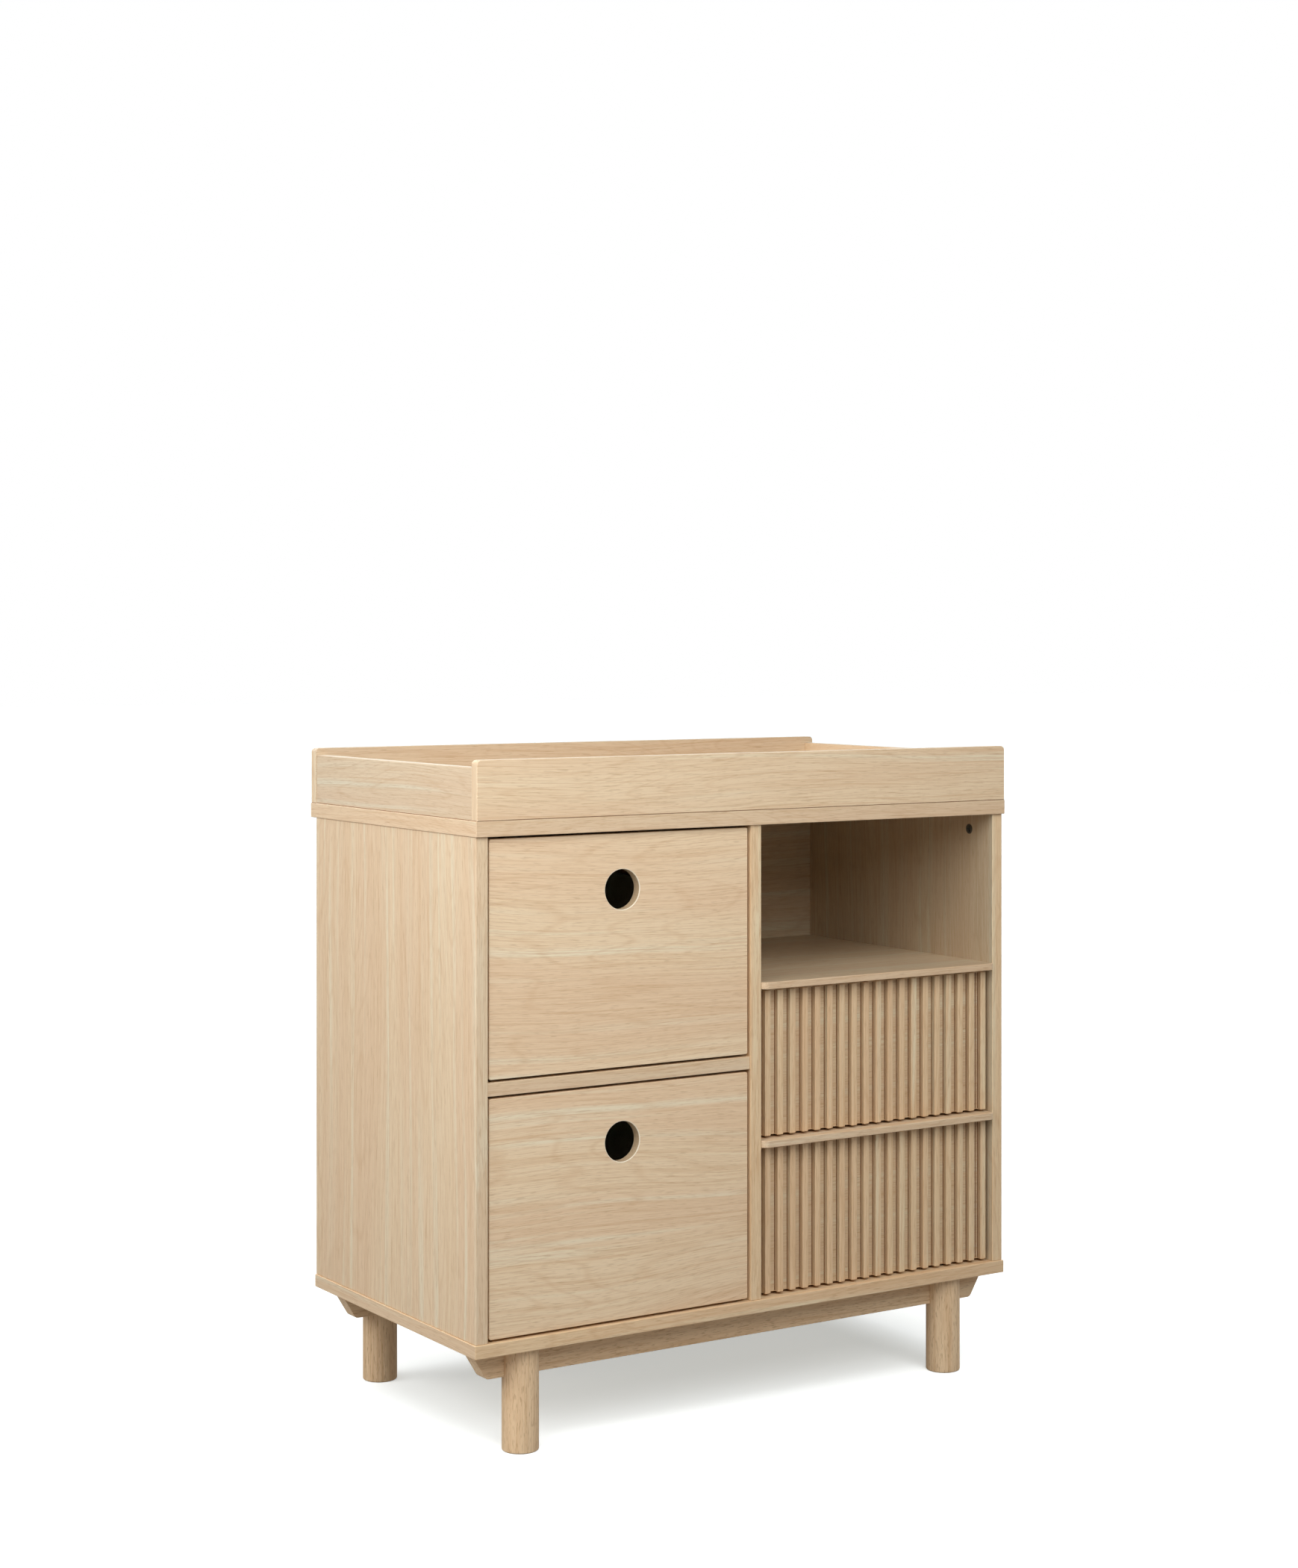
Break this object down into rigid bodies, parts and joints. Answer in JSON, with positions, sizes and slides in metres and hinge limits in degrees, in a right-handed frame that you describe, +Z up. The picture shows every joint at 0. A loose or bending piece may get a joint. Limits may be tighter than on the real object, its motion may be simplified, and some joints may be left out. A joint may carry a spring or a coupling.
{
  "type": "changing table",
  "caption": "Nursery dresser with a walled changing tray on top, finger-hole and reeded drawers, an open niche and round legs lapped onto two stretchers",
  "frame": {"origin": "on the floor, under the middle of the overall width and depth", "axes": "+Z up, +X to the right as a user faces the drawers, +Y from the front to the back"},
  "size_m": [0.9, 0.497, 0.923],
  "materials": {
    "oak_board": "light oak foil, satin",
    "oak_solid": "solid oak, matt lacquer",
    "box_board": "pale melamine, matt",
    "beech": "plain turned beech",
    "steel": "zinc-plated",
    "zinc": "die-cast, dull grey",
    "runner_steel": "cold-rolled, bright zinc-plated"
  },
  "bodies": {
    "carcass": {"base_panel": "oak_board", "top_panel": "oak_board", "left_side_panel": "oak_board", "right_side_panel": "oak_board", "centre_divider": "oak_board", "left_back_panel": "oak_board", "right_back_panel": "oak_board", "drawer_rail": "oak_board", "niche_shelf": "oak_board", "drawer_shelf": "oak_board", "tray_front_board": "oak_board", "tray_back_board": "oak_board", "tray_left_board": "oak_board", "tray_right_board": "oak_board", "front_stretcher": "oak_solid", "rear_stretcher": "oak_solid", "front_left_leg": "oak_solid", "front_right_leg": "oak_solid", "rear_left_leg": "oak_solid", "rear_right_leg": "oak_solid", "cam_locks": "zinc", "cam_bolts": "steel", "dowels": "beech", "tray_screws": "steel", "base_screws": "steel", "lap_bolts": "steel", "plain_upper_cabinet_runners": "runner_steel", "plain_lower_cabinet_runners": "runner_steel", "reeded_upper_cabinet_runners": "runner_steel", "reeded_lower_cabinet_runners": "runner_steel"},
    "plain_upper_drawer": {"plain_upper_front": "oak_board", "plain_upper_left_side": "box_board", "plain_upper_right_side": "box_board", "plain_upper_back": "box_board", "plain_upper_bottom": "box_board", "plain_upper_drawer_runners": "runner_steel"},
    "plain_upper_slides": {"plain_upper_middle_runners": "runner_steel"},
    "plain_lower_drawer": {"plain_lower_front": "oak_board", "plain_lower_left_side": "box_board", "plain_lower_right_side": "box_board", "plain_lower_back": "box_board", "plain_lower_bottom": "box_board", "plain_lower_drawer_runners": "runner_steel"},
    "plain_lower_slides": {"plain_lower_middle_runners": "runner_steel"},
    "reeded_upper_drawer": {"reeded_upper_front": "oak_board", "reeded_upper_left_side": "box_board", "reeded_upper_right_side": "box_board", "reeded_upper_back": "box_board", "reeded_upper_bottom": "box_board", "reeded_upper_drawer_runners": "runner_steel"},
    "reeded_upper_slides": {"reeded_upper_middle_runners": "runner_steel"},
    "reeded_lower_drawer": {"reeded_lower_front": "oak_board", "reeded_lower_left_side": "box_board", "reeded_lower_right_side": "box_board", "reeded_lower_back": "box_board", "reeded_lower_bottom": "box_board", "reeded_lower_drawer_runners": "runner_steel"},
    "reeded_lower_slides": {"reeded_lower_middle_runners": "runner_steel"}
  },
  "joints": [
    {"name": "plain_upper_pull", "type": "slide", "parent": "carcass", "child": "plain_upper_drawer", "axis": [0, -1, 0], "range_m": [0, 0.36]},
    {"name": "plain_upper_slide_travel", "type": "slide", "parent": "carcass", "child": "plain_upper_slides", "axis": [0, -1, 0], "range_m": [0, 0.18]},
    {"name": "plain_lower_pull", "type": "slide", "parent": "carcass", "child": "plain_lower_drawer", "axis": [0, -1, 0], "range_m": [0, 0.36]},
    {"name": "plain_lower_slide_travel", "type": "slide", "parent": "carcass", "child": "plain_lower_slides", "axis": [0, -1, 0], "range_m": [0, 0.18]},
    {"name": "reeded_upper_pull", "type": "slide", "parent": "carcass", "child": "reeded_upper_drawer", "axis": [0, -1, 0], "range_m": [0, 0.36]},
    {"name": "reeded_upper_slide_travel", "type": "slide", "parent": "carcass", "child": "reeded_upper_slides", "axis": [0, -1, 0], "range_m": [0, 0.18]},
    {"name": "reeded_lower_pull", "type": "slide", "parent": "carcass", "child": "reeded_lower_drawer", "axis": [0, -1, 0], "range_m": [0, 0.36]},
    {"name": "reeded_lower_slide_travel", "type": "slide", "parent": "carcass", "child": "reeded_lower_slides", "axis": [0, -1, 0], "range_m": [0, 0.18]}
  ],
  "couplings": [
    {"joint": "plain_upper_slide_travel", "follows": "plain_upper_pull", "ratio": 0.5},
    {"joint": "plain_lower_slide_travel", "follows": "plain_lower_pull", "ratio": 0.5},
    {"joint": "reeded_upper_slide_travel", "follows": "reeded_upper_pull", "ratio": 0.5},
    {"joint": "reeded_lower_slide_travel", "follows": "reeded_lower_pull", "ratio": 0.5}
  ]
}
